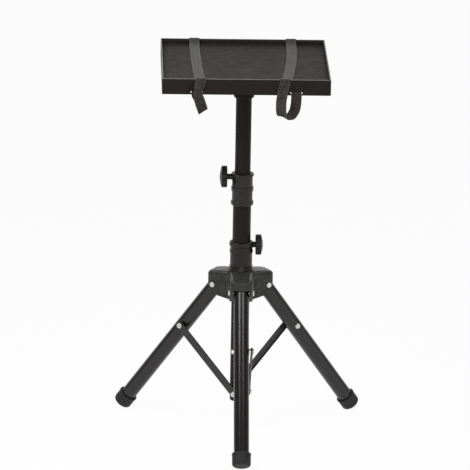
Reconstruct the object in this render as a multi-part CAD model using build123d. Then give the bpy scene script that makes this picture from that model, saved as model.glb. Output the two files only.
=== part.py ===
from build123d import *

import os
from math import asin, cos, radians, sin, sqrt, tan

# Portable projector stand: a rimmed tray on a telescoping post, carried by three folding legs.
# The post's axis is Z, the floor is Z = 0 and the front leg points along -Y. Millimetres.

# Telescoping post
MAIN_OD = 44.0
POST_WALL = 1.5
POST_PLAY = 1.5
SLIDE_CLEARANCE = 0.3
INNER_LENGTH_SHOWN = 187.0
LOWER_TRAVEL = 181.0
INNER_FOOT_GAP = 45.0
MAIN_FOOT = 17.0
PLUG_DEPTH = 6.0
PLUG_LIP = 3.0
PLUG_ROUND = 2.0

# Legs, seen in the upright plane of one leg
LEG_SIDES = ("front", "right", "left")
FRONT_AZIMUTH = 270.0
LEG_ANGLE = 37.0
LEG_OD = 37.0
LEG_WALL = 1.5
LEG_LENGTH = 442.0
PIVOT_RADIUS = 63.0
BRACE_ON_LEG = 150.0

# Rubber foot caps
CAP_OD = 45.0
CAP_LENGTH = 32.0
CAP_FLOOR = 6.0
CAP_EDGE = 6.0
CAP_BEAD = 2.0

# Braces between the legs and the foot of the main tube
BRACE_LENGTH = 215.0
BRACE_WIDTH = 18.0
BRACE_DEPTH = 4.5
BRACE_SHEET = 1.5
BRACE_TUBE_GAP = 1.0

# Fasteners
PIVOT_BOLT = 8.0
BRACE_BOLT = 6.0
SHOULDER = 8.0
HEAD_OD = 13.0
HEAD_HEIGHT = 3.5
HEAD_SLOT = 1.6
SPACER_OD = 13.0
WASHER = 1.0
NUT_HEIGHT = 4.0
BOLT_END = 1.0
SCREW_END = 2.0
PIN_CLEARANCE = 0.08
SEAT_CLEARANCE = 0.3

# Leg hub, a moulding that slides on the main tube
SLEEVE_WALL = 5.0
SLEEVE_ABOVE_PIVOT = 113.0
SLEEVE_LIP_OUT = 2.5
SLEEVE_LIP = 12.0
SLEEVE_LIP_ROUND = 4.0
SLEEVE_BEAD_OUT = 1.5
SLEEVE_BEAD = 6.0
SLEEVE_BEAD_ROUND = 1.4
SLEEVE_BEAD_DROP = 21.0
MOUTH_FLARE = 2.5
FLARE_OUT = 3.0
FLARE = 12.0
FLARE_LIFT = 3.5
BASE_RING_OUT = 4.0
BASE_RING = 4.0
BASE_RING_ROUND = 1.2
SHOULDER_ABOVE_PIVOT = 40.0
DOME_RADIUS = 420.0
LUG_WIDTH = 56.0
LUG_REACH = 81.0
EAR_FOOT_RADIUS = 20.0
EAR_FOOT_BELOW = 33.0
EAR_KNEE_RADIUS = 58.0
EAR_KNEE_BELOW = 25.0
EAR_SLOPE = 46.0
LUG_ROUND = 14.0
LUG_BLEND = 14.0
ARM_ROUND = 9.0
LEG_SIDE_GAP = 0.75
KNUCKLE_GAP = 1.5

# Clamp knobs
KNOB_THICK = 18.0
KNOB_DOME = 5.0
KNOB_CHAMFER = 1.5
KNOB_FLUTES = 10
KNOB_FLUTE_R = 4.0
KNOB_FLUTE_OUT = 1.4
KNOB_NECK_OD = 14.0
KNOB_STUD = 8.0
UPPER_KNOB_OD = 53.0
UPPER_KNOB_NECK = 8.0
LOWER_KNOB_OD = 50.0
LOWER_KNOB_NECK = 3.0
LOWER_KNOB_DROP = 8.5
BOSS_OD = 15.0
BOSS_REACH = 4.0

# Upper clamp collar, fixed on the main tube
FOLD_GAP = 7.0
COLLAR_WALL = 3.0
COLLAR_HEIGHT = 80.0
COLLAR_GRIP = 24.0
COLLAR_FLANGE_OUT = 2.5
COLLAR_FLANGE = 12.0
COLLAR_FLANGE_ROUND = 4.0
COLLAR_RING_OUT = 2.0
COLLAR_RING = 12.0
COLLAR_RING_ROUND = 1.8
COLLAR_RING_DROP = 33.0
COLLAR_LIP_OUT = 2.5
COLLAR_LIP = 8.0
COLLAR_LIP_ROUND = 3.0
UPPER_KNOB_DROP = 10.0

# Tray and its socket
TRAY_WIDTH = 400.0
TRAY_DEPTH = 400.0
TRAY_BAND = 38.0
TRAY_LIP = 12.0
TRAY_SHEET = 1.5
TRAY_CORNER = 4.0
TRAY_HEM = 8.0
HEM_ROUND = 0.7
SOCKET_WALL = 5.5
SOCKET_DEPTH = 83.0
SOCKET_CHAMFER = 4.0
FLANGE_OD = 110.0
FLANGE = 3.0
SOCKET_TOP_GAP = 4.0

# Hook-and-loop straps through the slots near the tray's lower edge
STRAP_WIDTH = 25.0
STRAP_THICK = 1.8
STRAP_OFFSET = 118.0
SLOT_WIDTH = 29.0
SLOT_HEIGHT = 5.0
SLOT_DROP = 32.0
STRAP_GAP = 0.3
STRAP_BEND = 1.6
LOOP_BULGE = 18.0
LOOP_DEPTH = 58.0
LOOP_WIDTH = 12.0
REAR_SLACK = 3.0

# Heights and the fold, worked out from the sizes above
inner_od = MAIN_OD - 2 * POST_WALL - 2 * POST_PLAY
sleeve_od = MAIN_OD + 2 * SLEEVE_WALL
collar_od = MAIN_OD + 2 * COLLAR_WALL
socket_bore = inner_od + 2 * PIN_CLEARANCE
socket_od = socket_bore + 2 * SOCKET_WALL
leg_azimuths = {side: FRONT_AZIMUTH + 360 * k / len(LEG_SIDES) for k, side in enumerate(LEG_SIDES)}
leg_sin = sin(radians(LEG_ANGLE))
leg_cos = cos(radians(LEG_ANGLE))
pivot_z = (LEG_LENGTH - CAP_EDGE) * leg_cos + (CAP_OD / 2 - CAP_EDGE) * leg_sin + CAP_EDGE
brace_reach = PIVOT_RADIUS + BRACE_ON_LEG * leg_sin
brace_rise = sqrt(BRACE_LENGTH**2 - brace_reach**2)
brace_top_z = pivot_z - BRACE_ON_LEG * leg_cos
brace_foot_z = brace_top_z - brace_rise
fold_travel = brace_foot_z + sqrt(BRACE_LENGTH**2 - PIVOT_RADIUS**2) + BRACE_ON_LEG - pivot_z
sleeve_top_z = pivot_z + SLEEVE_ABOVE_PIVOT
shoulder_z = pivot_z + SHOULDER_ABOVE_PIVOT
collar_z = sleeve_top_z + fold_travel + FOLD_GAP
collar_top_z = collar_z + COLLAR_HEIGHT
main_top_z = collar_top_z - COLLAR_GRIP
socket_z = collar_top_z + INNER_LENGTH_SHOWN
floor_under_z = socket_z + SOCKET_DEPTH
floor_top_z = floor_under_z + TRAY_SHEET
rim_z = floor_top_z + TRAY_LIP
band_z = rim_z - TRAY_BAND
brace_plane = MAIN_OD / 2 + BRACE_TUBE_GAP


def ring(outer, inner, low, high):
    """A tube section on the post's axis."""
    height = high - low
    body = Cylinder(outer / 2, height) - Cylinder(inner / 2, height)
    return Pos(0, 0, (low + high) / 2) * body


def rounded_ring(outer, inner, low, high, radius):
    """A tube section on the post's axis with both outer edges rounded."""
    body = ring(outer, inner, low, high)
    return fillet(body.edges().filter_by(GeomType.CIRCLE).sort_by(SortBy.RADIUS)[-2:], radius)


def mouth(bore, top):
    """The coned cut that opens the top of a sleeve round a tube."""
    return Pos(0, 0, top - MOUTH_FLARE / 2) * Cone(bore / 2, bore / 2 + MOUTH_FLARE, MOUTH_FLARE)


def around(shape, azimuth):
    """Turn a piece built for azimuth 0 (leg along +X) to its own leg."""
    return Rot(0, 0, azimuth) * shape


def cross_pin(diameter, low, high, x, z):
    """A round pin along +Y between two offsets, in the plane of a leg that runs along +X."""
    return Pos(x, (low + high) / 2, z) * Rot(90, 0, 0) * Cylinder(diameter / 2, high - low)


def slotted_head(x, seat, z, outward):
    """A pan head that stands on a face at Y = seat, with a screwdriver slot across it."""
    head = Cylinder(HEAD_OD / 2, HEAD_HEIGHT)
    crown = head.edges().group_by(Axis.Z)[-1]
    head = fillet(crown, HEAD_HEIGHT / 2)
    slot = Pos(0, 0, HEAD_HEIGHT / 2) * Box(HEAD_OD, HEAD_SLOT, HEAD_HEIGHT)
    head = head - slot
    return Pos(x, seat + outward * HEAD_HEIGHT / 2, z) * Rot(-90 * outward, 0, 0) * head


def hex_nut(x, seat, z, outward, height):
    """A nut on a face at Y = seat."""
    nut = extrude(RegularPolygon(HEAD_OD / 2, 6), height / 2, both=True)
    return Pos(x, seat + outward * height / 2, z) * Rot(90, 0, 0) * nut


def make_main_tube():
    """Outer tube of the post, cross-drilled for the brace screws."""
    tube = ring(MAIN_OD, MAIN_OD - 2 * POST_WALL, brace_foot_z - MAIN_FOOT, main_top_z)
    for azimuth in leg_azimuths.values():
        tube -= around(cross_pin(BRACE_BOLT, 0, MAIN_OD, 0, brace_foot_z), azimuth)
    return tube


def make_tube_plug():
    """Plastic plug that closes the foot of the main tube."""
    low = brace_foot_z - MAIN_FOOT
    inside = MAIN_OD - 2 * POST_WALL
    plug = Pos(0, 0, low + PLUG_DEPTH / 2) * Cylinder(inside / 2, PLUG_DEPTH)
    lip = Pos(0, 0, low - PLUG_LIP / 2) * Cylinder(MAIN_OD / 2, PLUG_LIP)
    lip = fillet(lip.edges().group_by(Axis.Z)[0], PLUG_ROUND)
    return plug + lip


def make_upper_collar():
    """Clamp collar: a turned form with a flared lip, a ring and a foot flange, and a boss for its knob."""
    bore = inner_od + 2 * SLIDE_CLEARANCE
    ring_top = collar_top_z - COLLAR_RING_DROP
    flange_top = collar_z + COLLAR_FLANGE
    lip_z = collar_top_z - COLLAR_LIP
    flange_od = collar_od + 2 * COLLAR_FLANGE_OUT
    flange = rounded_ring(flange_od, MAIN_OD, collar_z, flange_top, COLLAR_FLANGE_ROUND)
    band = rounded_ring(
        collar_od + 2 * COLLAR_RING_OUT, MAIN_OD, ring_top - COLLAR_RING, ring_top, COLLAR_RING_ROUND
    )
    lip = rounded_ring(collar_od + 2 * COLLAR_LIP_OUT, bore, lip_z, collar_top_z, COLLAR_LIP_ROUND)
    skirt = ring(collar_od, MAIN_OD, (collar_z + flange_top) / 2, main_top_z)
    grip = ring(collar_od, bore, main_top_z, (lip_z + collar_top_z) / 2)
    knob_z = collar_top_z - UPPER_KNOB_DROP
    reach = collar_od / 2 + BOSS_REACH
    boss = Pos(-reach / 2, 0, knob_z) * Rot(0, 90, 0) * Cylinder(BOSS_OD / 2, reach)
    boss -= Pos(0, 0, knob_z) * Cylinder(bore / 2, BOSS_OD * 2)
    collar = grip + skirt + flange + band + lip + boss
    hole = KNOB_STUD + 2 * PIN_CLEARANCE
    collar -= Pos(-reach / 2, 0, knob_z) * Rot(0, 90, 0) * Cylinder(hole / 2, reach)
    return collar - mouth(bore, collar_top_z)


def make_knob(diameter, neck, stud):
    """Fluted clamp knob on the axis X, its neck starting at X = 0 and its domed grip facing +X."""
    radius = diameter / 2
    front = neck + KNOB_THICK
    dome = (radius**2 + KNOB_DOME**2) / (2 * KNOB_DOME)
    half_turn = asin(radius / dome) / 2
    crown = (front - dome + dome * cos(half_turn), dome * sin(half_turn))
    sides = Polyline(
        (front, 0),
        (-stud, 0),
        (-stud, KNOB_STUD / 2),
        (0, KNOB_STUD / 2),
        (0, KNOB_NECK_OD / 2),
        (neck, KNOB_NECK_OD / 2),
        (neck, radius - KNOB_CHAMFER),
        (neck + KNOB_CHAMFER, radius),
        (front - KNOB_DOME, radius),
    )
    face = ThreePointArc((front - KNOB_DOME, radius), crown, (front, 0))
    grip = revolve(make_face(sides + face), Axis.X)
    for k in range(KNOB_FLUTES):
        flute = Rot(0, 90, 0) * Cylinder(KNOB_FLUTE_R, KNOB_THICK * 3)
        flute = Pos(front, radius + KNOB_FLUTE_OUT, 0) * flute
        grip -= Rot(360 * k / KNOB_FLUTES, 0, 0) * flute
    return grip


def make_upper_knob():
    """Knob on the left of the upper collar; it clamps the inner tube."""
    face = collar_od / 2 + BOSS_REACH + SEAT_CLEARANCE
    stud = face - inner_od / 2 - SEAT_CLEARANCE
    knob = make_knob(UPPER_KNOB_OD, UPPER_KNOB_NECK, stud)
    return Pos(-face, 0, collar_top_z - UPPER_KNOB_DROP) * Rot(0, 0, 180) * knob


def make_lower_knob():
    """Knob on the right of the hub's sleeve; it clamps the main tube."""
    face = sleeve_od / 2 + BOSS_REACH + SEAT_CLEARANCE
    stud = face - MAIN_OD / 2 - SEAT_CLEARANCE
    knob = make_knob(LOWER_KNOB_OD, LOWER_KNOB_NECK, stud)
    return Pos(face, 0, sleeve_top_z - LOWER_KNOB_DROP) * knob


def make_inner_tube():
    """Inner tube of the post, from inside the main tube up into the tray's socket."""
    low = brace_foot_z + INNER_FOOT_GAP + LOWER_TRAVEL
    return ring(inner_od, inner_od - 2 * POST_WALL, low, floor_under_z - FLANGE - SOCKET_TOP_GAP)


def make_tray_socket():
    """Welded socket under the tray: a round flange and a deep cup that turns on the inner tube."""
    cup = ring(socket_od, socket_bore, socket_z, floor_under_z - FLANGE)
    foot = cup.edges().filter_by(GeomType.CIRCLE).group_by(Axis.Z)[0].sort_by(SortBy.RADIUS)[-1]
    cup = chamfer(foot, SOCKET_CHAMFER)
    flange = Pos(0, 0, floor_under_z - FLANGE / 2) * Cylinder(FLANGE_OD / 2, FLANGE)
    return cup + flange


def make_tray_pan():
    """Folded sheet tray: a deep outer band with a doubled hem along its top edge, a floor a little below
    that edge, and slots for the straps near the lower edge."""
    outer = RectangleRounded(TRAY_WIDTH, TRAY_DEPTH, TRAY_CORNER)
    inner = offset(outer, -TRAY_SHEET)
    hemmed = offset(outer, -2 * TRAY_SHEET)
    band = extrude(outer, TRAY_BAND) - extrude(inner, TRAY_BAND)
    hem = extrude(inner, TRAY_HEM) - extrude(hemmed, TRAY_HEM)
    band += Pos(0, 0, TRAY_BAND - TRAY_HEM) * hem
    band = fillet(band.faces().sort_by(Axis.Z)[-1].edges(), HEM_ROUND)
    floor = Pos(0, 0, floor_under_z - band_z) * extrude(inner, TRAY_SHEET)
    pan = Pos(0, 0, band_z) * (band + floor)
    for x in (-STRAP_OFFSET, STRAP_OFFSET):
        slot = SlotOverall(SLOT_WIDTH, SLOT_HEIGHT)
        cutter = extrude(Plane.XZ * slot, TRAY_DEPTH, both=True)
        pan -= Pos(x, 0, rim_z - SLOT_DROP) * cutter
    return pan


def make_strap(x):
    """Webbing ring round the tray: under the floor, out of the front slot, down in a slack loop, over the
    rim, back along the floor, over the rear rim and in through the rear slot."""
    half = STRAP_THICK / 2 + STRAP_GAP
    edge = TRAY_DEPTH / 2
    slot_z = rim_z - SLOT_DROP
    lap_z = floor_top_z + half
    over_z = rim_z + half
    inside = edge - 2 * TRAY_SHEET - half
    hang_z = band_z - LOOP_DEPTH
    front = edge + half
    route = [
        (-front, over_z),
        (-front - LOOP_BULGE, (band_z + hang_z) / 2),
        (-front - LOOP_BULGE + LOOP_WIDTH / 4, hang_z),
        (-front - LOOP_BULGE + LOOP_WIDTH, hang_z),
        (-front - REAR_SLACK, slot_z),
        (front + REAR_SLACK, slot_z),
        (front + REAR_SLACK, over_z),
        (inside, over_z),
        (inside, lap_z),
        (-inside, lap_z),
        (-inside, over_z),
    ]
    path = FilletPolyline(*route, radius=STRAP_BEND, close=True)
    centre = make_face(path)
    skin = offset(centre, STRAP_THICK / 2) - offset(centre, -STRAP_THICK / 2)
    band = extrude(Plane.YZ * skin, STRAP_WIDTH / 2, both=True)
    return Pos(x, 0, 0) * band


def make_arms():
    """Three-armed housing: a star outline with blended inner corners, trimmed by a turned shape that has a
    shallow dome on top and is coned underneath, and well rounded along the top."""
    low = pivot_z - EAR_FOOT_BELOW
    star = Circle(sleeve_od / 2)
    for azimuth in leg_azimuths.values():
        star += Rot(0, 0, azimuth) * Pos(LUG_REACH / 2, 0) * Rectangle(LUG_REACH, LUG_WIDTH)
    by_radius = star.vertices().group_by(lambda v: v.X**2 + v.Y**2)
    star = fillet(by_radius[0], LUG_BLEND)
    by_radius = star.vertices().group_by(lambda v: v.X**2 + v.Y**2)
    star = fillet(by_radius[-1], LUG_ROUND)
    edge = LUG_REACH + LUG_WIDTH / 4
    knee_z = pivot_z - EAR_KNEE_BELOW
    dome_z = shoulder_z - DOME_RADIUS
    rim_z = dome_z + sqrt(DOME_RADIUS**2 - edge**2)
    underside = Polyline(
        (0, shoulder_z),
        (0, low),
        (EAR_FOOT_RADIUS, low),
        (EAR_KNEE_RADIUS, knee_z),
        (edge, knee_z + (edge - EAR_KNEE_RADIUS) * tan(radians(EAR_SLOPE))),
        (edge, rim_z),
    )
    middle = (edge / 2, dome_z + sqrt(DOME_RADIUS**2 - edge**2 / 4))
    dome = ThreePointArc((edge, rim_z), middle, (0, shoulder_z))
    turned = revolve(Plane.XZ * make_face(underside + dome), Axis.Z)
    arms = extrude(Pos(0, 0, low) * star, shoulder_z - low) & turned
    crown = arms.faces().filter_by(GeomType.SPHERE)[0]
    return fillet(crown.edges(), ARM_ROUND)


def lug_cavity():
    """Room for one leg's rounded end and for its swing from open to folded."""
    room = LEG_OD / 2 + KNUCKLE_GAP
    below = pivot_z - LUG_WIDTH * 2
    swing = Polyline(
        (PIVOT_RADIUS - room, pivot_z),
        (PIVOT_RADIUS - room, below),
        (PIVOT_RADIUS + room * leg_cos + (pivot_z + room * leg_sin - below) * leg_sin / leg_cos, below),
        (PIVOT_RADIUS + room * leg_cos, pivot_z + room * leg_sin),
        (PIVOT_RADIUS, pivot_z),
        close=True,
    )
    section = make_face(swing) + Pos(PIVOT_RADIUS, pivot_z) * Circle(room)
    return extrude(Plane.XZ * section, LEG_OD / 2 + LEG_SIDE_GAP, both=True)


def make_hub():
    """Leg hub: a long clamp sleeve with a flared lip and foot, over a domed three-armed housing
    with slotted leg lugs."""
    foot_z = pivot_z - EAR_FOOT_BELOW
    lip_z = sleeve_top_z - SLEEVE_LIP
    bead_z = sleeve_top_z - SLEEVE_BEAD_DROP
    arms = make_arms()
    sleeve = ring(sleeve_od, MAIN_OD, foot_z, (lip_z + sleeve_top_z) / 2)
    lip = rounded_ring(sleeve_od + 2 * SLEEVE_LIP_OUT, MAIN_OD, lip_z, sleeve_top_z, SLEEVE_LIP_ROUND)
    bead = rounded_ring(
        sleeve_od + 2 * SLEEVE_BEAD_OUT, MAIN_OD, bead_z - SLEEVE_BEAD, bead_z, SLEEVE_BEAD_ROUND
    )
    flare = Cone(sleeve_od / 2 + FLARE_OUT, sleeve_od / 2, FLARE)
    flare = Pos(0, 0, shoulder_z + FLARE_LIFT + FLARE / 2) * flare
    base_od = sleeve_od + 2 * BASE_RING_OUT
    base = rounded_ring(
        base_od, MAIN_OD, shoulder_z - BASE_RING / 2, shoulder_z + BASE_RING / 2, BASE_RING_ROUND
    )
    knob_z = sleeve_top_z - LOWER_KNOB_DROP
    reach = sleeve_od / 2 + BOSS_REACH
    boss = Pos(reach / 2, 0, knob_z) * Rot(0, 90, 0) * Cylinder(BOSS_OD / 2, reach)
    bore = MAIN_OD + 2 * SLIDE_CLEARANCE
    hub = arms + sleeve + lip + bead + flare + base + boss
    hub -= Pos(0, 0, sleeve_top_z / 2) * Cylinder(bore / 2, sleeve_top_z * 2)
    hub -= mouth(bore, sleeve_top_z)
    hub -= Pos(reach / 2, 0, knob_z) * Rot(0, 90, 0) * Cylinder(KNOB_STUD / 2 + PIN_CLEARANCE, reach)
    for azimuth in leg_azimuths.values():
        hub -= around(lug_cavity(), azimuth)
        hub -= around(cross_pin(PIVOT_BOLT, -LUG_WIDTH, LUG_WIDTH, PIVOT_RADIUS, pivot_z), azimuth)
    return hub


def make_pivot_bolt(azimuth):
    """Through bolt that carries one leg between the ears of its lug."""
    side = LUG_WIDTH / 2
    shank = cross_pin(PIVOT_BOLT, -side - HEAD_HEIGHT, side, PIVOT_RADIUS, pivot_z)
    head = slotted_head(PIVOT_RADIUS, side, pivot_z, 1)
    nut = slotted_head(PIVOT_RADIUS, -side, pivot_z, -1)
    return around(shank + head + nut, azimuth)


def leg_frame(azimuth):
    """Placement whose +Z runs down one leg from its pivot, with +Y across the leg."""
    return Rot(0, 0, azimuth) * Pos(PIVOT_RADIUS, 0, pivot_z) * Rot(0, 180 - LEG_ANGLE, 0)


def make_leg(azimuth):
    """Leg tube with its upper end rounded about the pivot and cross-drilled for its bolts."""
    length = LEG_LENGTH - CAP_FLOOR
    radius = LEG_OD / 2
    tube = Cylinder(radius, length + radius) - Cylinder(radius - LEG_WALL, length + radius)
    tube = Pos(0, 0, (length - radius) / 2) * tube
    knuckle = Rot(90, 0, 0) * Cylinder(radius, LEG_OD * 2)
    shank = Pos(0, 0, length / 2) * Box(LEG_OD * 2, LEG_OD * 2, length)
    tube = tube & (knuckle + shank)
    pivot_hole = Rot(90, 0, 0) * Cylinder(PIVOT_BOLT / 2 + PIN_CLEARANCE, LEG_OD * 2)
    brace_hole = Pos(0, 0, BRACE_ON_LEG) * Rot(90, 0, 0) * Cylinder(BRACE_BOLT / 2, LEG_OD * 2)
    return leg_frame(azimuth) * (tube - pivot_hole - brace_hole)


def make_foot_cap(azimuth):
    """Rubber cap pushed over the leg's end, with a bead round its mouth and a rounded sole."""
    cup = Cylinder(CAP_OD / 2, CAP_LENGTH)
    cup = fillet(cup.edges().group_by(Axis.Z)[-1], CAP_EDGE)
    cup = Pos(0, 0, LEG_LENGTH - CAP_LENGTH / 2) * cup
    bead_z = LEG_LENGTH - CAP_LENGTH + CAP_BEAD
    cup += Pos(0, 0, bead_z) * Torus(CAP_OD / 2 - CAP_BEAD / 2, CAP_BEAD)
    depth = LEG_LENGTH - CAP_FLOOR
    cup -= Pos(0, 0, depth / 2) * Cylinder(LEG_OD / 2, depth)
    return leg_frame(azimuth) * cup


def make_brace_nut(azimuth):
    """Bolt end and nut on the far side of the leg from its brace."""
    radius = LEG_OD / 2
    seat = radius + WASHER
    end = seat + NUT_HEIGHT + BOLT_END
    washer = cross_pin(HEAD_OD, -seat, 0, 0, BRACE_ON_LEG)
    nut = hex_nut(0, -seat, BRACE_ON_LEG, -1, NUT_HEIGHT)
    stub = cross_pin(BRACE_BOLT, -end, 0, 0, BRACE_ON_LEG)
    bore = Pos(0, 0, BRACE_ON_LEG) * Cylinder(radius, HEAD_OD * 2)
    return leg_frame(azimuth) * ((washer + nut + stub) - bore)


def make_brace(azimuth):
    """Folded steel channel with rounded ends beside its leg, its open side towards the leg."""
    bar = extrude(SlotCenterToCenter(BRACE_LENGTH, BRACE_WIDTH), BRACE_DEPTH)
    bar = fillet(bar.faces().sort_by(Axis.Z)[-1].edges(), BRACE_SHEET)
    hollow = SlotCenterToCenter(BRACE_LENGTH, BRACE_WIDTH - 2 * BRACE_SHEET)
    bar -= extrude(hollow, BRACE_DEPTH - BRACE_SHEET)
    bar -= Pos(-BRACE_LENGTH / 2, 0, 0) * Cylinder(SHOULDER / 2 + PIN_CLEARANCE, BRACE_DEPTH * 4)
    bar -= Pos(BRACE_LENGTH / 2, 0, 0) * Cylinder(BRACE_BOLT / 2, BRACE_DEPTH * 4)
    place = Plane(
        origin=(brace_reach / 2, brace_plane, (brace_top_z + brace_foot_z) / 2),
        x_dir=(brace_reach, 0, brace_rise),
        z_dir=(0, 1, 0),
    )
    return around(place * bar, azimuth)


def make_brace_bolt(azimuth):
    """Bolt head and spacer that hold a brace's upper end off the side of its leg."""
    outer = brace_plane + BRACE_DEPTH
    inner = LEG_OD / 2 + SEAT_CLEARANCE
    spacer = cross_pin(SPACER_OD, inner, outer - BRACE_SHEET, brace_reach, brace_top_z)
    shank = cross_pin(BRACE_BOLT, inner, outer, brace_reach, brace_top_z)
    head = slotted_head(brace_reach, outer, brace_top_z, 1)
    return around(spacer + shank + head, azimuth)


def make_brace_screw(azimuth):
    """Shoulder screw in the main tube's wall that a brace's lower end turns on."""
    outer = brace_plane + BRACE_DEPTH + SEAT_CLEARANCE
    wall = MAIN_OD / 2
    shank = cross_pin(BRACE_BOLT, wall - POST_WALL - SCREW_END, wall, 0, brace_foot_z)
    shoulder = cross_pin(SHOULDER, wall - POST_WALL / 2, outer, 0, brace_foot_z)
    shoulder -= Pos(0, 0, brace_foot_z) * Cylinder(wall, SHOULDER * 2)
    head = slotted_head(0, outer, brace_foot_z, 1)
    return around(shank + shoulder + head, azimuth)


os.makedirs("parts", exist_ok=True)
nodes = {
    "main_tube": make_main_tube(),
    "tube_plug": make_tube_plug(),
    "upper_collar": make_upper_collar(),
    "upper_knob": make_upper_knob(),
    "inner_tube": make_inner_tube(),
    "tray_socket": make_tray_socket(),
    "tray_pan": make_tray_pan(),
    "strap_left": make_strap(-STRAP_OFFSET),
    "strap_right": make_strap(STRAP_OFFSET),
    "leg_hub": make_hub(),
    "lower_knob": make_lower_knob(),
}
for side, azimuth in leg_azimuths.items():
    nodes["pivot_bolt_" + side] = make_pivot_bolt(azimuth)
    nodes["leg_" + side] = make_leg(azimuth)
    nodes["foot_cap_" + side] = make_foot_cap(azimuth)
    nodes["brace_nut_" + side] = make_brace_nut(azimuth)
    nodes["brace_" + side] = make_brace(azimuth)
    nodes["brace_bolt_" + side] = make_brace_bolt(azimuth)
    nodes["brace_screw_" + side] = make_brace_screw(azimuth)
for name, shape in nodes.items():
    export_step(shape, "parts/" + name + ".step")
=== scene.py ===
from math import cos, pi, radians, sin
import bpy
import numpy as np
from mathutils import Matrix, Vector


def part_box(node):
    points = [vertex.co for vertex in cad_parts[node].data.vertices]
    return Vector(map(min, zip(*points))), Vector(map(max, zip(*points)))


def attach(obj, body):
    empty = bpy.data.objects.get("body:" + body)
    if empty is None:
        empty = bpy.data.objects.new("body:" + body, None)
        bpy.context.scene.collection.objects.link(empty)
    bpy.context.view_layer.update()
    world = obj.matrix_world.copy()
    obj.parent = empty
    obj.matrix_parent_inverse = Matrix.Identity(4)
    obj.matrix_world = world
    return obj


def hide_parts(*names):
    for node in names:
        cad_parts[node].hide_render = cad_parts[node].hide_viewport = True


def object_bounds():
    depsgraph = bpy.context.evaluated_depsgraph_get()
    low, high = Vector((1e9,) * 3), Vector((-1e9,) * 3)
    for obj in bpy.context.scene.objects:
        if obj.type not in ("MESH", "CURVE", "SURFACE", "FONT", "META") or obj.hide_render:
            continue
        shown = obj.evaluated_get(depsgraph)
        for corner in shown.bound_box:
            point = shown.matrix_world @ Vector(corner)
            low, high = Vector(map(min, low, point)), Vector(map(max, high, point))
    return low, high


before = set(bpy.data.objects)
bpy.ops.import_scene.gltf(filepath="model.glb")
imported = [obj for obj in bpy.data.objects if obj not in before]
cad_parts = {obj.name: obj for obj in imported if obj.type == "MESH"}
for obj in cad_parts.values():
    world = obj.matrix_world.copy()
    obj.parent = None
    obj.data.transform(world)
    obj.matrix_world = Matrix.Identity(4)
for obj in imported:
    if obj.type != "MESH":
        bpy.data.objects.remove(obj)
cad_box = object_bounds()


# Post: two round steel tubes, the slim one sliding inside the wide one. Welded tube, cut square and powder
# coated satin black. A screw in the collar clamps the inner tube at its height.
def new_finish(name):
    """A fresh material: itself, its node tree, its surface shader and its Object coordinates."""
    material = bpy.data.materials.new(name)
    material.use_nodes = True
    tree = material.node_tree
    place = tree.nodes.new("ShaderNodeTexCoord").outputs["Object"]
    return material, tree, tree.nodes["Principled BSDF"], place


def mottle(tree, place, scale, detail=3.0, stretch=(1.0, 1.0, 1.0)):
    """A cloud of noise, of about scale lumps in a metre, drawn out along the axes by stretch."""
    mapping = tree.nodes.new("ShaderNodeMapping")
    mapping.inputs["Scale"].default_value = stretch
    tree.links.new(place, mapping.inputs["Vector"])
    noise = tree.nodes.new("ShaderNodeTexNoise")
    noise.inputs["Scale"].default_value = scale
    noise.inputs["Detail"].default_value = detail
    tree.links.new(mapping.outputs["Vector"], noise.inputs["Vector"])
    return noise.outputs["Fac"]


def between(tree, factor, low, high, start=0.3, end=0.7):
    """The factor's stretch from start to end, spread over the values from low to high."""
    spread = tree.nodes.new("ShaderNodeMapRange")
    spread.inputs["From Min"].default_value = start
    spread.inputs["From Max"].default_value = end
    spread.inputs["To Min"].default_value = low
    spread.inputs["To Max"].default_value = high
    tree.links.new(factor, spread.inputs["Value"])
    return spread.outputs["Result"]


def tint(tree, factor, first, second, start=0.3, end=0.7):
    """A colour that goes from first to second as the factor goes from start to end."""
    ramp = tree.nodes.new("ShaderNodeValToRGB")
    ramp.color_ramp.elements[0].position = start
    ramp.color_ramp.elements[0].color = (*first, 1.0)
    ramp.color_ramp.elements[1].position = end
    ramp.color_ramp.elements[1].color = (*second, 1.0)
    tree.links.new(factor, ramp.inputs["Fac"])
    return ramp.outputs["Color"]


def emboss(tree, shader, height, depth):
    """Raises the surface by the height's pattern, depth metres from its lowest to its highest."""
    bump = tree.nodes.new("ShaderNodeBump")
    bump.inputs["Strength"].default_value = 1.0
    bump.inputs["Distance"].default_value = depth
    tree.links.new(height, bump.inputs["Height"])
    tree.links.new(bump.outputs["Normal"], shader.inputs["Normal"])


COAT_CLOUDS = 38.0
COAT_GLOSS_PATCHES = 90.0
PEEL_DETAIL = 2.0


def powder_coat(name, dark, light, gloss, specular, peel_scale, peel_depth):
    """Baked powder: faint clouds between two blacks, gloss that wanders, and orange peel."""
    material, tree, shader, place = new_finish(name)
    clouds = mottle(tree, place, COAT_CLOUDS)
    tree.links.new(tint(tree, clouds, dark, light), shader.inputs["Base Color"])
    patches = mottle(tree, place, COAT_GLOSS_PATCHES)
    tree.links.new(between(tree, patches, *gloss), shader.inputs["Roughness"])
    shader.inputs["Specular IOR Level"].default_value = specular
    emboss(tree, shader, mottle(tree, place, peel_scale, PEEL_DETAIL), peel_depth)
    return material


def dress(material, *names):
    """Gives the named pieces of the frame this finish."""
    for name in names:
        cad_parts[name].material_slots[0].material = material


TUBE_PEEL = 420.0
TUBE_PEEL_DEPTH = 0.00001
tube_coat = powder_coat(
    "tube_powder_coat",
    dark=(0.0150, 0.0119, 0.0109),
    light=(0.0178, 0.0143, 0.0131),
    gloss=(0.34, 0.44),
    specular=0.1,
    peel_scale=TUBE_PEEL,
    peel_depth=TUBE_PEEL_DEPTH,
)
dress(tube_coat, "main_tube")

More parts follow.
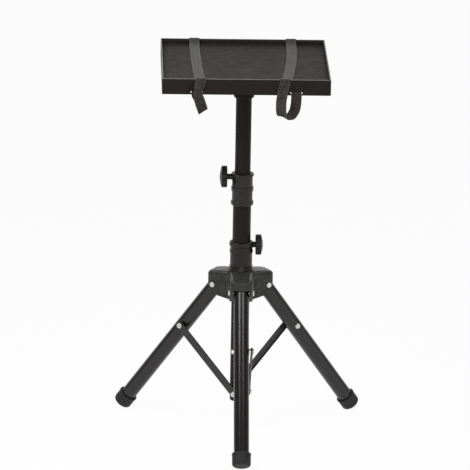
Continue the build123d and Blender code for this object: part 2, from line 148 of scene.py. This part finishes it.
RUB_LINES = 260.0
RUB_LINE_DETAIL = 4.0
RUB_LINE_STRETCH = (1.0, 1.0, 0.012)
RUB_LINE_START, RUB_LINE_FULL = 0.35, 0.75


def slid_coat(name, dark, light, gloss, specular):
    """The same powder on a tube that slides in a clamp: faint rub lines along it, from noise that is drawn
    out in Z, set both its tone and its gloss."""
    material, tree, shader, place = new_finish(name)
    rub_lines = mottle(tree, place, RUB_LINES, RUB_LINE_DETAIL, RUB_LINE_STRETCH)
    colour = tint(tree, rub_lines, dark, light, RUB_LINE_START, RUB_LINE_FULL)
    tree.links.new(colour, shader.inputs["Base Color"])
    tree.links.new(between(tree, rub_lines, *gloss), shader.inputs["Roughness"])
    shader.inputs["Specular IOR Level"].default_value = specular
    emboss(tree, shader, mottle(tree, place, TUBE_PEEL, PEEL_DETAIL), TUBE_PEEL_DEPTH)
    return material


# Its tones are painted lighter than the main tube's, to offset the shade that the tray casts on it.
slid_tube_coat_painted_light = slid_coat(
    "slid_tube_coat_painted_light",
    dark=(0.0228, 0.0185, 0.0173),
    light=(0.0288, 0.0236, 0.0220),
    gloss=(0.52, 0.4),
    specular=0.06,
)
dress(slid_tube_coat_painted_light, "inner_tube")


# Collar and plug: injection moulded nylon. The collar is pressed on the main tube's top and carries the
# upper clamp screw. The plug is pushed into the tube's foot and closes it.
SCUFFS = 60.0
SCUFF_DETAIL = 6.0
SCUFF_START, SCUFF_FULL = 0.35, 0.75
PLASTIC_GLOSS_PATCHES = 140.0
PLASTIC_SPECULAR = 0.27


def spark_grain(tree, shader, place, gloss, grain_scale, grain_depth):
    """The skin of a moulding: gloss that wanders, and a fine grain from the spark-eroded mould."""
    patches = mottle(tree, place, PLASTIC_GLOSS_PATCHES)
    tree.links.new(between(tree, patches, *gloss), shader.inputs["Roughness"])
    shader.inputs["Specular IOR Level"].default_value = PLASTIC_SPECULAR
    emboss(tree, shader, mottle(tree, place, grain_scale, 3.0), grain_depth)


def moulded(name, dark, light, gloss, grain_scale, grain_depth):
    """Moulded plastic: one tone with paler scuffs here and there, under the grain."""
    material, tree, shader, place = new_finish(name)
    scuffs = mottle(tree, place, SCUFFS, SCUFF_DETAIL)
    colour = tint(tree, scuffs, dark, light, SCUFF_START, SCUFF_FULL)
    tree.links.new(colour, shader.inputs["Base Color"])
    spark_grain(tree, shader, place, gloss, grain_scale, grain_depth)
    return material


NYLON_GLOSS = (0.26, 0.36)
NYLON_GRAIN = 1400.0
NYLON_GRAIN_DEPTH = 0.00002
moulding = moulded(
    "moulded_nylon",
    dark=(0.0200, 0.0180, 0.0168),
    light=(0.0258, 0.0234, 0.0219),
    gloss=NYLON_GLOSS,
    grain_scale=NYLON_GRAIN,
    grain_depth=NYLON_GRAIN_DEPTH,
)
dress(moulding, "upper_collar", "tube_plug")


# Hub: one large nylon moulding with a long sleeve, sliding on the main tube. Its three arms are forked,
# and a bolt through each fork carries a leg. Its colour holds painted light: the arms are painted paler, as
# if their tops caught the lamps, and the sleeve darker, as painted shade.
SLEEVE_RADIUS = 0.0285
ARM_RADIUS = 0.0325


def nylon_with_painted_light(name, shaded_sleeve_dark, shaded_sleeve_light, lit_arm_dark, lit_arm_light):
    """Moulded grain with scuffs, and painted light: a darker, painted shade tone up to SLEEVE_RADIUS from
    the post's axis, a paler, painted lit tone from ARM_RADIUS on, and a mix of both between."""
    material, tree, shader, place = new_finish(name)
    level = tree.nodes.new("ShaderNodeMapping")
    level.inputs["Scale"].default_value = (1.0, 1.0, 0.0)
    tree.links.new(place, level.inputs["Vector"])
    off_axis = tree.nodes.new("ShaderNodeVectorMath")
    off_axis.operation = "LENGTH"
    tree.links.new(level.outputs["Vector"], off_axis.inputs[0])
    scuffs = mottle(tree, place, SCUFFS, SCUFF_DETAIL)
    tone = tree.nodes.new("ShaderNodeMix")
    tone.data_type = "RGBA"
    lit_arm_mask = between(tree, off_axis.outputs["Value"], 0.0, 1.0, SLEEVE_RADIUS, ARM_RADIUS)
    tree.links.new(lit_arm_mask, tone.inputs["Factor"])
    for end, dark, light in (("A", shaded_sleeve_dark, shaded_sleeve_light), ("B", lit_arm_dark, lit_arm_light)):
        tree.links.new(tint(tree, scuffs, dark, light, SCUFF_START, SCUFF_FULL), tone.inputs[end])
    tree.links.new(tone.outputs["Result"], shader.inputs["Base Color"])
    spark_grain(tree, shader, place, NYLON_GLOSS, NYLON_GRAIN, NYLON_GRAIN_DEPTH)
    return material


# The arms' paler tones are a painted highlight and the sleeve's darker tones a painted shade.
hub_nylon_painted_light = nylon_with_painted_light(
    "hub_nylon_painted_light",
    shaded_sleeve_dark=(0.0140, 0.0118, 0.0108),
    shaded_sleeve_light=(0.0180, 0.0153, 0.0142),
    lit_arm_dark=(0.0230, 0.0220, 0.0210),
    lit_arm_light=(0.0470, 0.0455, 0.0440),
)
dress(hub_nylon_painted_light, "leg_hub")


# Clamp knobs: round grips with ten flutes, moulded in black plastic. Each is moulded on a threaded stud,
# and the two studs are screwed into the collar and the hub's sleeve, where they press on the tubes.
knob_plastic = moulded(
    "knob_plastic",
    dark=(0.0085, 0.0082, 0.0078),
    light=(0.0135, 0.0130, 0.0124),
    gloss=(0.34, 0.46),
    grain_scale=1100.0,
    grain_depth=0.00005,
)
dress(knob_plastic, "upper_knob", "lower_knob")


# Legs and feet: three round steel tubes in a glossier powder coat than the post's, each hung on a bolt in
# the hub's forks. Their ends are pushed into caps of moulded rubber.
SIDES = ("front", "right", "left")
leg_coat = powder_coat(
    "leg_powder_coat",
    dark=(0.0098, 0.0077, 0.0069),
    light=(0.0128, 0.0102, 0.0093),
    gloss=(0.2, 0.21),
    specular=0.5,
    peel_scale=TUBE_PEEL,
    peel_depth=0.0000015,
)
dress(leg_coat, *("leg_" + side for side in SIDES))


BLOOM = 75.0
RUBBER_ROUGHNESS = (0.55, 0.72)
RUBBER_GRAIN = 900.0
RUBBER_GRAIN_DEPTH = 0.00008


def rubber(name, dark, light):
    """Matt rubber: a dusty bloom in soft patches over a fine grain."""
    material, tree, shader, place = new_finish(name)
    bloom = mottle(tree, place, BLOOM, 5.0)
    tree.links.new(tint(tree, bloom, dark, light, 0.38, 0.7), shader.inputs["Base Color"])
    tree.links.new(between(tree, bloom, *RUBBER_ROUGHNESS), shader.inputs["Roughness"])
    shader.inputs["Specular IOR Level"].default_value = 0.35
    emboss(tree, shader, mottle(tree, place, RUBBER_GRAIN, 3.0), RUBBER_GRAIN_DEPTH)
    return material


foot_rubber = rubber("foot_rubber", dark=(0.016, 0.0155, 0.015), light=(0.03, 0.029, 0.028))
dress(foot_rubber, *("foot_cap_" + side for side in SIDES))


# Braces and fasteners: steel strips pressed to shallow channels and powder coated, one from each leg to
# the main tube's foot. Zinc plated bolts, nuts and screws hold their ends, and the legs in the hub.
brace_coat = powder_coat(
    "brace_powder_coat",
    dark=(0.021, 0.0205, 0.02),
    light=(0.029, 0.028, 0.0272),
    gloss=(0.3, 0.42),
    specular=0.5,
    peel_scale=500.0,
    peel_depth=0.00005,
)
dress(brace_coat, *("brace_" + side for side in SIDES))


ZINC_BLOTCHES = 420.0
ZINC_ROUGHNESS = (0.34, 0.2)
ZINC_MARKS = 2600.0
ZINC_MARK_DEPTH = 0.00002


def zinc_plate(name, dull, bright):
    """Bright zinc: a cool grey metal, duller and rougher in small blotches, with fine working marks."""
    material, tree, shader, place = new_finish(name)
    blotches = mottle(tree, place, ZINC_BLOTCHES, 4.0)
    tree.links.new(tint(tree, blotches, dull, bright), shader.inputs["Base Color"])
    tree.links.new(between(tree, blotches, *ZINC_ROUGHNESS), shader.inputs["Roughness"])
    shader.inputs["Metallic"].default_value = 1.0
    emboss(tree, shader, mottle(tree, place, ZINC_MARKS, 2.0), ZINC_MARK_DEPTH)
    return material


FASTENERS = ("pivot_bolt_", "brace_bolt_", "brace_nut_", "brace_screw_")
zinc = zinc_plate("zinc_plate", dull=(0.62, 0.62, 0.61), bright=(0.8, 0.8, 0.78))
dress(zinc, *(kind + side for kind in FASTENERS for side in SIDES))


# Tray: sheet steel folded to a shallow box, in a finely textured powder coat whose paler band along the rim
# is partly rubbed wear and partly a painted highlight. A flanged socket is welded under it and turns on the
# inner tube's top.
RIM_HEIGHT = 0.012
RIM_RUB_AND_HIGHLIGHT_START = 0.0012
RIM_RUB_AND_HIGHLIGHT_FULL = 0.0002
TRAY_CLOUDS = 24.0
TRAY_GLOSS_PATCHES = 55.0
SAND = 1900.0
SAND_DEPTH = 0.00008
TRAY_ROUGHNESS = (0.5, 0.62)
tray_low, tray_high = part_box("tray_pan")
TRAY_RIM = tray_high.z
TRAY_BOTTOM = tray_low.z
TRAY_EDGE = tray_high.y
TRAY_FLOOR = TRAY_RIM - RIM_HEIGHT


def textured_coat(name, dark, light, rubbed_and_lit):
    """Fine sand texture: noise lumps half a millimetre wide. A paler band, partly rub and partly a painted
    highlight, starts RIM_RUB_AND_HIGHLIGHT_START under the rim and is full RIM_RUB_AND_HIGHLIGHT_FULL under
    it."""
    material, tree, shader, place = new_finish(name)
    height = tree.nodes.new("ShaderNodeSeparateXYZ")
    tree.links.new(place, height.inputs["Vector"])
    rim_rub_and_highlight = between(tree, height.outputs["Z"], 0.0, 1.0, TRAY_RIM - RIM_RUB_AND_HIGHLIGHT_START, TRAY_RIM - RIM_RUB_AND_HIGHLIGHT_FULL)
    clouds = tint(tree, mottle(tree, place, TRAY_CLOUDS), dark, light)
    mix = tree.nodes.new("ShaderNodeMix")
    mix.data_type = "RGBA"
    tree.links.new(rim_rub_and_highlight, mix.inputs["Factor"])
    tree.links.new(clouds, mix.inputs["A"])
    mix.inputs["B"].default_value = (*rubbed_and_lit, 1.0)
    tree.links.new(mix.outputs["Result"], shader.inputs["Base Color"])
    patches = mottle(tree, place, TRAY_GLOSS_PATCHES)
    tree.links.new(between(tree, patches, *TRAY_ROUGHNESS), shader.inputs["Roughness"])
    shader.inputs["Specular IOR Level"].default_value = 0.06
    emboss(tree, shader, mottle(tree, place, SAND, 2.0), SAND_DEPTH)
    return material


# The rim's pale colour is partly rubbed wear and partly a painted highlight of light on the rim's edge.
tray_coat = textured_coat(
    "tray_coat",
    dark=(0.0206, 0.0166, 0.0154),
    light=(0.0226, 0.0184, 0.0171),
    rubbed_and_lit=(0.17, 0.163, 0.157),
)
dress(tray_coat, "tray_pan", "tray_socket")


# Straps: two closed bands of black hook-and-loop webbing, woven outside and looped inside. Each runs along
# the tray's floor, over the rims and through the slots, with its slack hanging as a loop in front.
STRAP_WIDTH = 0.025
STRAP_THICK = 0.0018
STRAP_CLEARANCE = 0.0003
STRAP_LAY = STRAP_THICK / 2 + STRAP_CLEARANCE
SLOT_DROP = 0.0320
SLOT_Z = TRAY_RIM - SLOT_DROP
STRAP_X = 0.118
STRAP_LEAN = 0.16
STRAP_STEPS = 900
SECTION_STEPS = 32
SECTION_POWER = 0.35


def ring_line(stations, steps):
    """A closed smooth line through the stations. On each span every coordinate is a cubic whose end slopes
    are weighted harmonic means of the slopes to both sides, or zero where those differ in sign, so that
    the line never swings past a station. Returns steps points, evenly spaced along the chords."""
    span = np.roll(stations, -1, 0) - stations
    length = np.linalg.norm(span[:, :3], axis=1)
    slope = span / length[:, None]
    before = np.roll(slope, 1, 0)
    near = (2 * length + np.roll(length, 1))[:, None]
    far = (length + 2 * np.roll(length, 1))[:, None]
    same = before * slope > 0
    safe = np.where(same, slope, 1.0)
    safe_before = np.where(same, before, 1.0)
    bend = np.where(same, (near + far) / (near / safe_before + far / safe), 0.0)
    start = np.concatenate(([0.0], np.cumsum(length)))
    along = np.linspace(0.0, start[-1], steps, endpoint=False)
    at = np.searchsorted(start, along, side="right") - 1
    share = ((along - start[at]) / length[at])[:, None]
    run = length[at][:, None]
    after = (at + 1) % len(stations)
    return (
        (1 + 2 * share) * (1 - share) ** 2 * stations[at]
        + share * (1 - share) ** 2 * run * bend[at]
        + share**2 * (3 - 2 * share) * stations[after]
        + share**2 * (share - 1) * run * bend[after]
    )


def band_mesh(name, stations):
    """A flat band round a closed line: at each step the section, a superellipse as wide and thick as the
    webbing (cosine and sine to SECTION_POWER), is set out along the width direction and the normal.
    Returns the object and its length."""
    line = ring_line(stations, STRAP_STEPS)
    centre = line[:, :3]
    ahead = np.roll(centre, -1, 0) - np.roll(centre, 1, 0)
    ahead /= np.linalg.norm(ahead, axis=1)[:, None]
    wide = line[:, 3:] - (line[:, 3:] * ahead).sum(1)[:, None] * ahead
    wide /= np.linalg.norm(wide, axis=1)[:, None]
    out = np.cross(ahead, wide)
    angle = np.linspace(0.0, 2 * pi, SECTION_STEPS, endpoint=False)
    across = np.sign(np.cos(angle)) * np.abs(np.cos(angle)) ** SECTION_POWER * STRAP_WIDTH / 2
    thick = np.sign(np.sin(angle)) * np.abs(np.sin(angle)) ** SECTION_POWER * STRAP_THICK / 2
    points = centre[:, None] + wide[:, None] * across[:, None] + out[:, None] * thick[:, None]
    step = np.arange(STRAP_STEPS)[:, None]
    turn = np.arange(SECTION_STEPS)[None, :]
    steps = np.stack(np.broadcast_arrays(step, step, step + 1, step + 1), -1).reshape(-1, 4)
    turns = np.stack(np.broadcast_arrays(turn, turn + 1, turn + 1, turn), -1).reshape(-1, 4)
    rows, cols = np.broadcast_arrays(steps.reshape(-1, 1, 4), turns.reshape(1, -1, 4))
    rows = rows.reshape(-1, 4)
    cols = cols.reshape(-1, 4)
    faces = (rows % STRAP_STEPS) * SECTION_STEPS + cols % SECTION_STEPS
    mesh = bpy.data.meshes.new(name)
    mesh.from_pydata(points.reshape(-1, 3), [], faces.tolist())
    mesh.polygons.foreach_set("use_smooth", np.ones(len(faces), bool))
    gaps = np.linalg.norm(np.roll(centre, -1, 0) - centre, axis=1)
    total = gaps.sum()
    run = np.concatenate(([0.0], np.cumsum(gaps)))
    weave = np.stack((run[rows], across[cols % SECTION_STEPS]), -1)
    mesh.uv_layers.new(name="weave").data.foreach_set("uv", weave.ravel().astype(np.float32))
    side = mesh.attributes.new("outer_face", "FLOAT", "POINT")
    outer = np.broadcast_to(thick / STRAP_THICK + 0.5, (STRAP_STEPS, SECTION_STEPS))
    side.data.foreach_set("value", outer.ravel().astype(np.float32))
    obj = bpy.data.objects.new(name, mesh)
    bpy.context.scene.collection.objects.link(obj)
    return obj, float(total)


def strap_stations(x, x_front, loop):
    """The band's stations: under the floor, out through the rear slot, over the rear rim, along the floor,
    over the front rim at x_front, down the loop and back in through the front slot. Each has a place and a
    width direction."""
    flat = (1.0, 0.0, 0.0)
    rear = [
        (x, -TRAY_EDGE + 0.03, SLOT_Z, *flat),
        (x, 0.0, SLOT_Z - 0.0015, *flat),
        (x, TRAY_EDGE - 0.02, SLOT_Z, *flat),
        (x, TRAY_EDGE + 0.0005, SLOT_Z + 0.0002, *flat),
        (x, TRAY_EDGE + 0.0030, SLOT_Z + 0.0035, *flat),
        (x, TRAY_EDGE + 0.0022, SLOT_Z + 0.0120, *flat),
        (x, TRAY_EDGE + 0.0016, TRAY_RIM - 0.0040, *flat),
        (x, TRAY_EDGE + 0.0007, TRAY_RIM + 0.0007, *flat),
        (x, TRAY_EDGE - 0.0015, TRAY_RIM + STRAP_LAY, *flat),
        (x, TRAY_EDGE - 0.0050, TRAY_RIM + 0.0002, *flat),
        (x, TRAY_EDGE - 0.0130, TRAY_RIM - 0.0058, *flat),
        (x, TRAY_EDGE - 0.0230, TRAY_FLOOR + STRAP_LAY + 0.0008, *flat),
        (x, TRAY_EDGE - 0.0340, TRAY_FLOOR + STRAP_LAY, *flat),
    ]
    lean = (x_front - x) * STRAP_LEAN
    front = [
        (x_front - lean, -TRAY_EDGE + 0.0340, TRAY_FLOOR + STRAP_LAY, *flat),
        (x_front - lean / 2, -TRAY_EDGE + 0.0230, TRAY_FLOOR + STRAP_LAY + 0.0008, *flat),
        (x_front - lean / 3, -TRAY_EDGE + 0.0130, TRAY_RIM - 0.0058, *flat),
        (x_front, -TRAY_EDGE + 0.0050, TRAY_RIM + 0.0002, *flat),
        (x_front, -TRAY_EDGE + 0.0015, TRAY_RIM + STRAP_LAY, *flat),
        (x_front, -TRAY_EDGE - 0.0007, TRAY_RIM + 0.0007, *flat),
    ]
    inlet = [
        (x, -TRAY_EDGE - 0.0028, TRAY_BOTTOM + 0.0020, *flat),
        (x, -TRAY_EDGE - 0.0005, SLOT_Z, *flat),
        (x, -TRAY_EDGE + 0.0060, SLOT_Z, *flat),
    ]
    hung = [(px, -TRAY_EDGE - py, TRAY_BOTTOM + pz, *wide) for px, py, pz, wide in loop]
    return np.array(rear + front + hung + inlet)


# In each loop a point is given by its x, how far it stands in front of the tray, its height over the tray's
# lower edge, and which way the webbing's width points there.
RIGHT_FRONT = 0.092
RIGHT_LOOP = [
    (0.0912, 0.0020, 0.0300, (0.97, 0.0, -0.20)),
    (0.0880, 0.0045, 0.0190, (0.97, 0.0, -0.24)),
    (0.0846, 0.0100, 0.0040, (0.98, -0.05, -0.18)),
    (0.0818, 0.0190, -0.0160, (0.98, -0.14, -0.11)),
    (0.0816, 0.0275, -0.0290, (0.95, -0.22, -0.12)),
    (0.0838, 0.0300, -0.0395, (0.90, -0.38, -0.18)),
    (0.0912, 0.0250, -0.0475, (0.78, -0.55, -0.28)),
    (0.1020, 0.0158, -0.0483, (0.71, -0.56, -0.33)),
    (0.1115, 0.0090, -0.0400, (0.82, -0.38, -0.28)),
    (0.1162, 0.0058, -0.0270, (0.95, -0.14, -0.12)),
    (0.1180, 0.0038, -0.0080, (1.0, 0.0, 0.0)),
]
LEFT_FRONT = -0.1085
LEFT_LOOP = [
    (-0.1100, 0.0030, 0.0285, (0.97, 0.2, 0.0)),
    (-0.1139, 0.0085, 0.0150, (0.76, 0.65, 0.0)),
    (-0.1145, 0.0095, 0.0020, (0.85, 0.5, 0.15)),
    (-0.1111, 0.0110, -0.0130, (0.93, 0.2, 0.30)),
    (-0.1059, 0.0125, -0.0280, (0.90, 0.0, 0.45)),
    (-0.1030, 0.0112, -0.0365, (0.82, 0.0, 0.57)),
    (-0.1023, 0.0085, -0.0390, (0.80, 0.0, 0.60)),
    (-0.1033, 0.0056, -0.0360, (0.82, 0.0, 0.57)),
    (-0.1069, 0.0042, -0.0250, (0.92, 0.0, 0.38)),
    (-0.1126, 0.0036, -0.0090, (0.96, 0.0, 0.25)),
]


RIB_SCALE = 330.0
PICK_SCALE = 420.0
NAP = 1500.0
OUTSIDE_WEAR = 170.0
INSIDE_WEAR = 230.0
WEAVE_DEPTH = 0.0003
SELVEDGE_START = STRAP_WIDTH / 2 - 0.0024
SELVEDGE_FULL = STRAP_WIDTH / 2 - 0.0014


def webbing(name, worn_dark, worn_light, selvedge_tone, nap_dark, nap_light):
    """Hook-and-loop webbing: outside, ribs a millimetre apart along the band crossed by fine picks, with a
    paler selvedge two millimetres wide; inside, a darker nap of small loops. The face attribute tells which
    is which."""
    material, tree, shader, place = new_finish(name)
    weave = tree.nodes.new("ShaderNodeUVMap")
    weave.uv_map = "weave"
    face = tree.nodes.new("ShaderNodeAttribute")
    face.attribute_name = "outer_face"
    waves = []
    for direction, scale in (("Y", RIB_SCALE), ("X", PICK_SCALE)):
        wave = tree.nodes.new("ShaderNodeTexWave")
        wave.bands_direction = direction
        wave.inputs["Scale"].default_value = scale
        wave.inputs["Distortion"].default_value = 1.2
        wave.inputs["Detail"].default_value = 1.0
        wave.inputs["Detail Scale"].default_value = 0.6
        tree.links.new(weave.outputs["UV"], wave.inputs["Vector"])
        waves.append(wave.outputs["Fac"])
    ribs = tree.nodes.new("ShaderNodeMath")
    ribs.operation = "MULTIPLY"
    tree.links.new(waves[0], ribs.inputs[0])
    tree.links.new(waves[1], ribs.inputs[1])
    nap = mottle(tree, place, NAP, 5.0)
    surface = tree.nodes.new("ShaderNodeMix")
    tree.links.new(face.outputs["Fac"], surface.inputs["Factor"])
    tree.links.new(nap, surface.inputs["A"])
    tree.links.new(ribs.outputs["Value"], surface.inputs["B"])
    across = tree.nodes.new("ShaderNodeSeparateXYZ")
    tree.links.new(weave.outputs["UV"], across.inputs["Vector"])
    off_middle = tree.nodes.new("ShaderNodeMath")
    off_middle.operation = "ABSOLUTE"
    tree.links.new(across.outputs["Y"], off_middle.inputs[0])
    selvedge = between(tree, off_middle.outputs["Value"], 0.0, 1.0, SELVEDGE_START, SELVEDGE_FULL)
    outside = tree.nodes.new("ShaderNodeMix")
    outside.data_type = "RGBA"
    tree.links.new(selvedge, outside.inputs["Factor"])
    worn = tint(tree, mottle(tree, place, OUTSIDE_WEAR, 4.0), worn_dark, worn_light)
    tree.links.new(worn, outside.inputs["A"])
    outside.inputs["B"].default_value = (*selvedge_tone, 1.0)
    inside = tint(tree, mottle(tree, place, INSIDE_WEAR, 6.0), nap_dark, nap_light)
    colour = tree.nodes.new("ShaderNodeMix")
    colour.data_type = "RGBA"
    tree.links.new(face.outputs["Fac"], colour.inputs["Factor"])
    tree.links.new(inside, colour.inputs["A"])
    tree.links.new(outside.outputs["Result"], colour.inputs["B"])
    tree.links.new(colour.outputs["Result"], shader.inputs["Base Color"])
    tree.links.new(between(tree, nap, 0.75, 0.92), shader.inputs["Roughness"])
    shader.inputs["Specular IOR Level"].default_value = 0.2
    shader.inputs["Sheen Weight"].default_value = 0.15
    shader.inputs["Sheen Roughness"].default_value = 0.5
    emboss(tree, shader, surface.outputs["Result"], WEAVE_DEPTH)
    return material


strap_webbing = webbing(
    "hook_and_loop_webbing",
    worn_dark=(0.015, 0.0130, 0.0123),
    worn_light=(0.053, 0.0476, 0.0455),
    selvedge_tone=(0.058, 0.053, 0.051),
    nap_dark=(0.007, 0.0056, 0.0051),
    nap_light=(0.046, 0.0395, 0.0372),
)
for strap_side, strap_x, strap_front, strap_loop in (
    ("right", STRAP_X, RIGHT_FRONT, RIGHT_LOOP),
    ("left", -STRAP_X, LEFT_FRONT, LEFT_LOOP),
):
    band, band_length = band_mesh("webbing_" + strap_side, strap_stations(strap_x, strap_front, strap_loop))
    band.data.materials.append(strap_webbing)
    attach(band, "tray")
    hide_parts("strap_" + strap_side)


# Studio: a wide white floor that keeps a soft shadow, a white cove behind the stand in a dim room, two
# softboxes over the stand to the left and right, and a broad dim light far in front that fills the shadows.
FLOOR_REACH = 30.0
FLOOR_WHITE = 0.95
FLOOR_PAINT = (0.9, 0.9, 0.9)
floor_mesh = bpy.data.meshes.new("studio_floor")
floor_mesh.from_pydata(
    [(x * FLOOR_REACH, y * FLOOR_REACH, cad_box[0].z) for x, y in ((-1, -1), (1, -1), (1, 1), (-1, 1))],
    [],
    [(0, 1, 2, 3)],
)
studio_floor = bpy.data.objects.new("studio_floor", floor_mesh)
bpy.context.scene.collection.objects.link(studio_floor)
floor_paint = bpy.data.materials.new("floor_paint")
floor_paint.use_nodes = True
paint_nodes = floor_paint.node_tree.nodes
paint_links = floor_paint.node_tree.links
paint_nodes.remove(paint_nodes["Principled BSDF"])
matt = paint_nodes.new("ShaderNodeBsdfDiffuse")
matt.inputs["Color"].default_value = (*FLOOR_PAINT, 1.0)
glow = paint_nodes.new("ShaderNodeEmission")
rays = paint_nodes.new("ShaderNodeLightPath")
seen = rays.outputs["Is Camera Ray"]
for ray_kind in ("Is Glossy Ray", "Is Transmission Ray"):
    either = paint_nodes.new("ShaderNodeMath")
    either.operation = "MAXIMUM"
    paint_links.new(seen, either.inputs[0])
    paint_links.new(rays.outputs[ray_kind], either.inputs[1])
    seen = either.outputs["Value"]
whiten = paint_nodes.new("ShaderNodeMath")
whiten.operation = "MULTIPLY"
whiten.inputs[1].default_value = FLOOR_WHITE
paint_links.new(seen, whiten.inputs[0])
floor_mix = paint_nodes.new("ShaderNodeMixShader")
paint_links.new(whiten.outputs["Value"], floor_mix.inputs["Fac"])
paint_links.new(matt.outputs["BSDF"], floor_mix.inputs[1])
paint_links.new(glow.outputs["Emission"], floor_mix.inputs[2])
paint_links.new(floor_mix.outputs["Shader"], paint_nodes["Material Output"].inputs["Surface"])
floor_mesh.materials.append(floor_paint)

COVE_GLOW = 0.95
COVE_START, COVE_FULL = 0.45, 0.75
ROOM_GLOW = 0.2
sky = bpy.data.worlds.new("studio_sky")
bpy.context.scene.world = sky
sky.use_nodes = True
sky_tree = sky.node_tree
sky_way = sky_tree.nodes.new("ShaderNodeTexCoord")
sky_part = sky_tree.nodes.new("ShaderNodeSeparateXYZ")
sky_tree.links.new(sky_way.outputs["Generated"], sky_part.inputs["Vector"])
room_tone, cove_tone = (ROOM_GLOW,) * 3, (COVE_GLOW,) * 3
sky_glow = tint(sky_tree, sky_part.outputs["Y"], room_tone, cove_tone, COVE_START, COVE_FULL)
sky_tree.links.new(sky_glow, sky_tree.nodes["Background"].inputs["Color"])

SOFTBOX_SIZE = (1.15, 0.65)
SOFTBOX_AIM = Vector((0.0, -0.075, 0.345))
for lamp_side, lamp_watts, lamp_place in (
    ("left", 16.0, (-0.83, -0.435, 1.7)),
    ("right", 11.0, (0.78, -0.455, 1.72)),
):
    lamp = bpy.data.lights.new("softbox_" + lamp_side, "AREA")
    lamp.shape = "RECTANGLE"
    lamp.size, lamp.size_y = SOFTBOX_SIZE
    lamp.energy = lamp_watts
    softbox = bpy.data.objects.new("softbox_" + lamp_side, lamp)
    softbox.location = lamp_place
    softbox.rotation_euler = (SOFTBOX_AIM - Vector(lamp_place)).to_track_quat("-Z", "Y").to_euler()
    softbox.visible_camera = False
    bpy.context.scene.collection.objects.link(softbox)

FILL_STRENGTH = 0.6
FILL_SPREAD = radians(40.0)
FILL_WAY = Vector((0.0, 1.0, -0.17))
fill_light = bpy.data.lights.new("front_fill", "SUN")
fill_light.energy = FILL_STRENGTH
fill_light.angle = FILL_SPREAD
front_fill = bpy.data.objects.new("front_fill", fill_light)
front_fill.rotation_euler = FILL_WAY.to_track_quat("-Z", "Y").to_euler()
bpy.context.scene.collection.objects.link(front_fill)


# Camera: a long lens twelve metres in front of the stand, a little to its left and looking down on it by
# sixteen degrees. It is rolled by a degree, because the photo's post leans by about that much.
IMAGE_PIXELS = 470.0
LENS_PIXELS = 4944.72
SENSOR = 36.0
EYE_DISTANCE = 12.0
EYE_REACH = 100.0
EYE_ELEVATION = radians(16.084)
EYE_AZIMUTH = radians(-1.608)
EYE_ROLL = radians(1.0)
EYE_TARGET = Vector((-0.015835, 0.0, 0.492084))
eye_back = Vector(
    (sin(EYE_AZIMUTH) * cos(EYE_ELEVATION), -cos(EYE_AZIMUTH) * cos(EYE_ELEVATION), sin(EYE_ELEVATION))
)
eye_right = Vector((cos(EYE_AZIMUTH), sin(EYE_AZIMUTH), 0.0))
eye_up = eye_back.cross(eye_right)
rolled_right = cos(EYE_ROLL) * eye_right + sin(EYE_ROLL) * eye_up
rolled_up = cos(EYE_ROLL) * eye_up - sin(EYE_ROLL) * eye_right
eye = bpy.data.cameras.new("photo_camera")
eye.sensor_width = SENSOR
eye.lens = LENS_PIXELS / IMAGE_PIXELS * SENSOR
eye.clip_end = EYE_REACH
camera = bpy.data.objects.new("photo_camera", eye)
camera.matrix_world = Matrix.Translation(EYE_TARGET + eye_back * EYE_DISTANCE) @ Matrix(
    (rolled_right, rolled_up, eye_back)
).transposed().to_4x4()
bpy.context.scene.collection.objects.link(camera)
bpy.context.scene.camera = camera
bpy.context.scene.view_settings.view_transform = "Standard"
